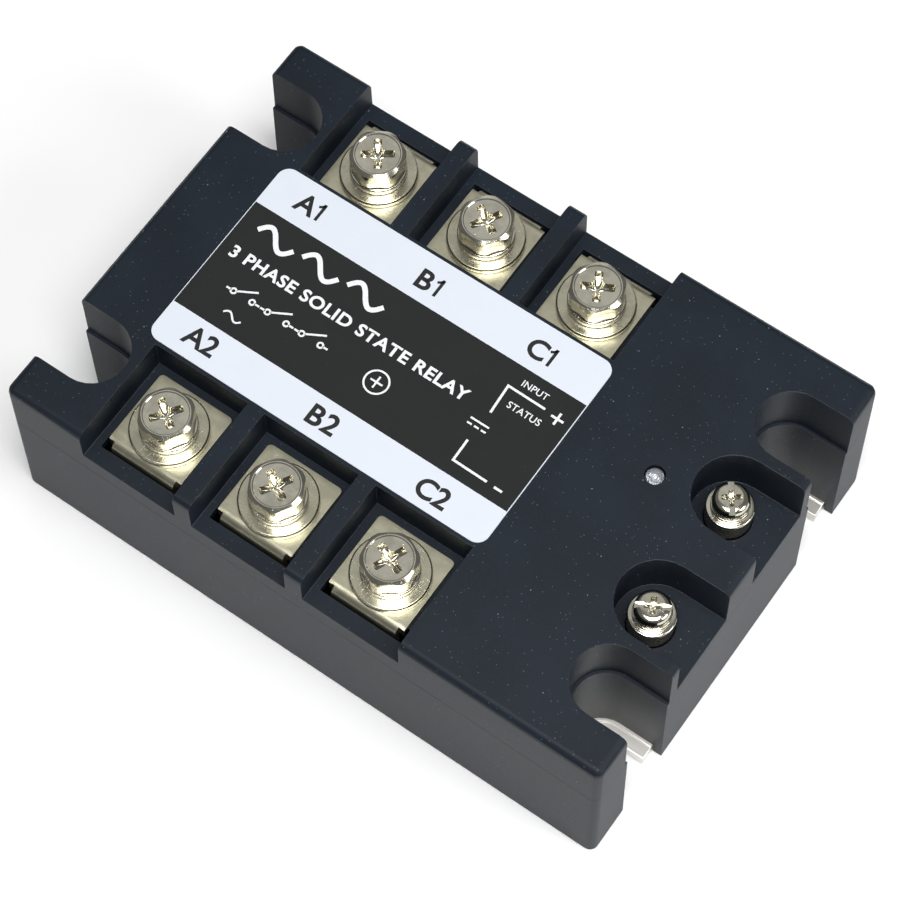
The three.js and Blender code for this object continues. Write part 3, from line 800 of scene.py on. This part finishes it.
def spring_washer(outer, inner, thickness):
    """A split ring of square wire, pressed nearly flat, its ends cut on a slant."""
    bm = bmesh.new()
    rise = 0.12
    gap = math.radians(7)
    section = thickness - rise
    edges = outline(bm, [(inner, 0, 0), (outer, 0, 0), (outer, 0, section), (inner, 0, section)])
    spun(bm, edges, turn=2 * math.pi - gap, steps=72, lift=rise)
    bmesh.ops.holes_fill(bm, edges=[e for e in bm.edges if e.is_boundary])
    bmesh.ops.recalc_face_normals(bm, faces=bm.faces)
    slant = math.radians(14)
    reach = math.radians(16)  # of the slant, from each end
    edge = 0.13
    for v in bm.verts:
        angle = math.atan2(v.co.y, v.co.x) % (2 * math.pi)
        near = max(0.0, 1 - min(angle, abs(2 * math.pi - gap - angle)) / reach)
        turn = Matrix.Rotation(slant * near * (v.co.z / thickness - 0.5), 3, "Z")
        v.co = turn @ v.co
    broken(bm, edge, sharp_edges(bm, 50), segments=3)
    return bm


def cut_away(bm, cutter):
    """What is left of one shape when another is cut out of it."""
    objects = []
    for name, shape in (("blank", bm), ("cutter", cutter)):
        mesh = bpy.data.meshes.new(name)
        shape.to_mesh(mesh)
        shape.free()
        objects.append(bpy.data.objects.new(name, mesh))
        bpy.context.scene.collection.objects.link(objects[-1])
    blank, tool = objects
    cut = blank.modifiers.new("cut", "BOOLEAN")
    cut.operation = "DIFFERENCE"
    cut.solver = "EXACT"
    cut.object = tool
    result = bmesh.new()
    result.from_object(blank, bpy.context.evaluated_depsgraph_get())
    for made in objects:
        bpy.data.meshes.remove(made.data)
    return result


def pan_screw(size, head_height):
    """A low round head with a slot and a cross recess, about z = 0 under the head."""
    bm = bmesh.new()
    seat = threaded_shank(bm, size)
    known = set(bm.edges)
    radius = size["head"] / 2
    bmesh.ops.create_circle(bm, segments=64, radius=radius * 0.97)
    loop = [e for e in bm.edges if e not in known]
    joined(bm, seat, loop)
    profile = [(1.0, 0.04), (1.0, 0.52), (0.985, 0.66), (0.94, 0.80), (0.86, 0.91), (0.74, 0.98), (0.62, 1.0)]
    for share, height in profile:
        reach = radius * share
        loop = drawn(bm, loop, lambda co: Vector((*(co.xy.normalized() * reach), head_height * height)))
    joined(bm, loop, recess(bm, M3_CROSS, head_height))
    outward(bm)
    slot = bmesh.new()
    bmesh.ops.create_cube(slot, size=1)
    bmesh.ops.scale(slot, vec=(size["head"] * 2, size["slot"], size["slot_depth"] * 2), verts=slot.verts)
    bmesh.ops.translate(slot, vec=(0, 0, head_height), verts=slot.verts)
    return cut_away(bm, slot)


def standing(node, turn=0.0, height=None):
    """The place of a piece on a node's axis, standing on its low face or at a height."""
    low, high = span(node)
    centre = (low + high) / 2
    base = low.z if height is None else height
    return Matrix.Translation((centre.x, centre.y, base)) @ Matrix.Rotation(math.radians(turn), 4, "Z")


def washer_pair(flat, spring, size, body, flat_finish):
    """A flat washer with a spring washer on top of it."""
    kinds = (
        (flat, "_stamped", flat_washer, FLAT_CLEARANCE, flat_finish, 0.0),
        (spring, "_split", spring_washer, SPRING_CLEARANCE, BRIGHT_NICKEL, SPRING_GAP),
    )
    for node, suffix, shape, clearance, finish, turn in kinds:
        low, high = span(node)
        washer = shape((high.x - low.x) / 2, size["thread"] / 2 + clearance, high.z - low.z)
        finished(washer, node + suffix, body, finish, [node], standing(flat, turn, low.z))


def load_hardware(name):
    screw, flat, spring = f"terminal_screw_{name}", f"flat_washer_{name}", f"spring_washer_{name}"
    seat = span(spring)[1].z
    finished(
        hexagon_screw(M5, span(screw)[1].z - seat, CROSS_TURN[name]), screw + "_threaded", f"screw_{name}",
        BRIGHT_NICKEL, [screw], standing(flat, HEAD_TURN[name], seat),
    )
    washer_pair(flat, spring, M5, f"washers_{name}", WASHER_NICKEL)


def control_hardware(name):
    screw, flat, spring = (f"control_{part}_{name}" for part in ("screw", "flat_washer", "spring_washer"))
    seat = span(spring)[1].z
    finished(
        pan_screw(M3, span(screw)[1].z - seat), screw + "_threaded", f"screw_{name}",
        BRIGHT_NICKEL, [screw], standing(flat, CONTROL_TURN[name], seat),
    )
    washer_pair(flat, spring, M3, f"washers_{name}", BRIGHT_NICKEL)


def turned_pillar(name):
    """A plated sleeve with a rounded rim and a chamfered blind bore."""
    node = f"control_pillar_{name}"
    low, high = span(node)
    radius = (high.x - low.x) / 2
    height = high.z - low.z
    bore = M3["thread"] / 2 + 0.15
    chamfer = 0.25
    depth = M3["length"]
    drill_point = bore * 0.5
    edge = 0.2
    bm = bmesh.new()
    points = [
        (0, 0, 0), (radius, 0, 0), (radius, 0, height), (bore + chamfer, 0, height),
        (bore, 0, height - chamfer), (bore, 0, height - depth), (0, 0, height - depth - drill_point),
    ]
    spun(bm, outline(bm, points, closed=False), steps=64)
    rims = [e for e in sharp_edges(bm, 60) if math.hypot(*e.verts[0].co.xy) > radius * 0.9]
    broken(bm, edge, rims, segments=3)
    outward(bm)
    finished(bm, node + "_turned", HOUSING, SLEEVE_NICKEL, [node], standing(node))


for terminal in LOAD_TERMINALS:
    softened(f"terminal_plate_{terminal}", PLATE_EDGE, SATIN_NICKEL)
    load_hardware(terminal)
for terminal in CONTROL_TERMINALS:
    control_hardware(terminal)
    turned_pillar(terminal)

# ---- Status light ---------------------------------------------------------------------------------


LAMP_RADIUS = 1.5
LAMP_STAND = 2.55  # height of the lens over its flange
LAMP_FLANGE = 1.0  # thickness
CUP_DEPTH_IN_LENS = 1.1  # of the reflector's rim, below the top of the lens


def lamp_lens():
    """A clear dome on a flange."""
    low, high = span("status_led")
    flange = (high.y - low.y) / 2
    collar = high.z - LAMP_STAND
    steps = 12
    dome = []
    for i in range(steps + 1):
        angle = math.pi / 2 * i / steps
        rise = high.z - LAMP_RADIUS + LAMP_RADIUS * math.sin(angle)
        dome.append((LAMP_RADIUS * math.cos(angle), 0, rise))
    foot = collar - LAMP_FLANGE
    points = [(0, 0, foot), (flange, 0, foot), (flange, 0, collar), (LAMP_RADIUS, 0, collar), *dome]
    bm = bmesh.new()
    spun(bm, outline(bm, points, closed=False), steps=48)
    outward(bm)
    place = standing("status_led", height=0)
    finished(bm, "lamp_lens", HOUSING, CLEAR_EPOXY, ["status_led"], place)


def lamp_reflector():
    """The metal cup inside the lens."""
    top = span("status_led")[1].z - CUP_DEPTH_IN_LENS
    floor, foot = top - 0.4, top - 0.9
    cup = [(0, 0, floor), (0.4, 0, floor), (1.05, 0, top), (1.15, 0, top), (1.15, 0, foot), (0, 0, foot)]
    bm = bmesh.new()
    spun(bm, outline(bm, cup, closed=False), steps=32)
    outward(bm)
    finished(bm, "lamp_reflector", HOUSING, LAMP_METAL, place=standing("status_led", height=0))


lamp_lens()
lamp_reflector()

# ---- Pieces inside, which keep their CAD shape ----------------------------------------------------

INSIDE = {
    "control_board": board_laminate(),
    "potting_resin": cast_resin(),
    "optocoupler": moulded_epoxy(),
    "ceramic_substrate": fired_ceramic(),
    "thyristor": polished_silicon(),
    "terminal_nut": BRIGHT_NICKEL,
}
for name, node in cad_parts.items():
    for kind, finish in INSIDE.items():
        if name.startswith(kind):
            node.material_slots[0].material = finish.material

# ---- Studio ---------------------------------------------------------------------------------------

CAMERA = {"azimuth": 39.04, "elevation": 65.3, "roll": -3.86, "distance": 450.0}
CAMERA_TARGET = (-8.73, -3.47, 1.29)
CAMERA_LENS = 116.57
CAMERA_SHIFT = (0.0747, 0.0124)

WORLD_STRENGTH = 0.14
SOFTBOX_DISTANCE = 0.9  # metres
SOFTBOXES = {  # azimuth, elevation, side in metres, power
    "overhead": (45, 74, 0.5, 7.8),
    "right": (100, 35, 0.35, 2.6),
    "back": (215, 58, 0.5, 0.3),
}


def direction(azimuth, elevation):
    """From the object towards a place round it; azimuth 0 is straight in front, along -Y."""
    a, e = math.radians(azimuth), math.radians(elevation)
    return Vector((math.sin(a) * math.cos(e), -math.cos(a) * math.cos(e), math.sin(e)))


def camera():
    data = bpy.data.cameras.new("camera")
    data.lens = CAMERA_LENS
    data.shift_x, data.shift_y = CAMERA_SHIFT
    data.clip_start = 0.01
    made = bpy.data.objects.new("camera", data)
    back = direction(CAMERA["azimuth"], CAMERA["elevation"])
    right = Vector((0, 0, 1)).cross(back).normalized()
    up = back.cross(right)
    turn = Matrix((right, up, back)).transposed() @ Matrix.Rotation(math.radians(CAMERA["roll"]), 3, "Z")
    place = (Vector(CAMERA_TARGET) + back * CAMERA["distance"]) * MM
    made.matrix_world = Matrix.Translation(place) @ turn.to_4x4()
    bpy.context.scene.collection.objects.link(made)
    bpy.context.scene.camera = made


def softbox(name, azimuth, elevation, side, power):
    data = bpy.data.lights.new(name, "AREA")
    data.shape = "RECTANGLE"
    data.size = data.size_y = side
    data.energy = power
    made = bpy.data.objects.new(name, data)
    towards = direction(azimuth, elevation)
    made.location = towards * SOFTBOX_DISTANCE
    made.rotation_euler = towards.to_track_quat("Z", "Y").to_euler()
    bpy.context.scene.collection.objects.link(made)


def studio():
    bm = bmesh.new()
    bmesh.ops.create_grid(bm, x_segments=1, y_segments=1, size=2.0)
    mesh = bpy.data.meshes.new("floor")
    bm.to_mesh(mesh)
    bm.free()
    paper = Finish("floor_paper", Roughness=0.9)
    paper.surface(Base_Color=grey(0.97))
    mesh.materials.append(paper.material)
    floor = bpy.data.objects.new("floor", mesh)
    bpy.context.scene.collection.objects.link(floor)
    world = bpy.data.worlds.new("studio")
    world.use_nodes = True
    background = world.node_tree.nodes["Background"]
    background.inputs["Color"].default_value = grey(1.0)
    background.inputs["Strength"].default_value = WORLD_STRENGTH
    bpy.context.scene.world = world
    bpy.context.scene.view_settings.view_transform = "Standard"
    for name, place in SOFTBOXES.items():
        softbox(name, *place)


camera()
studio()
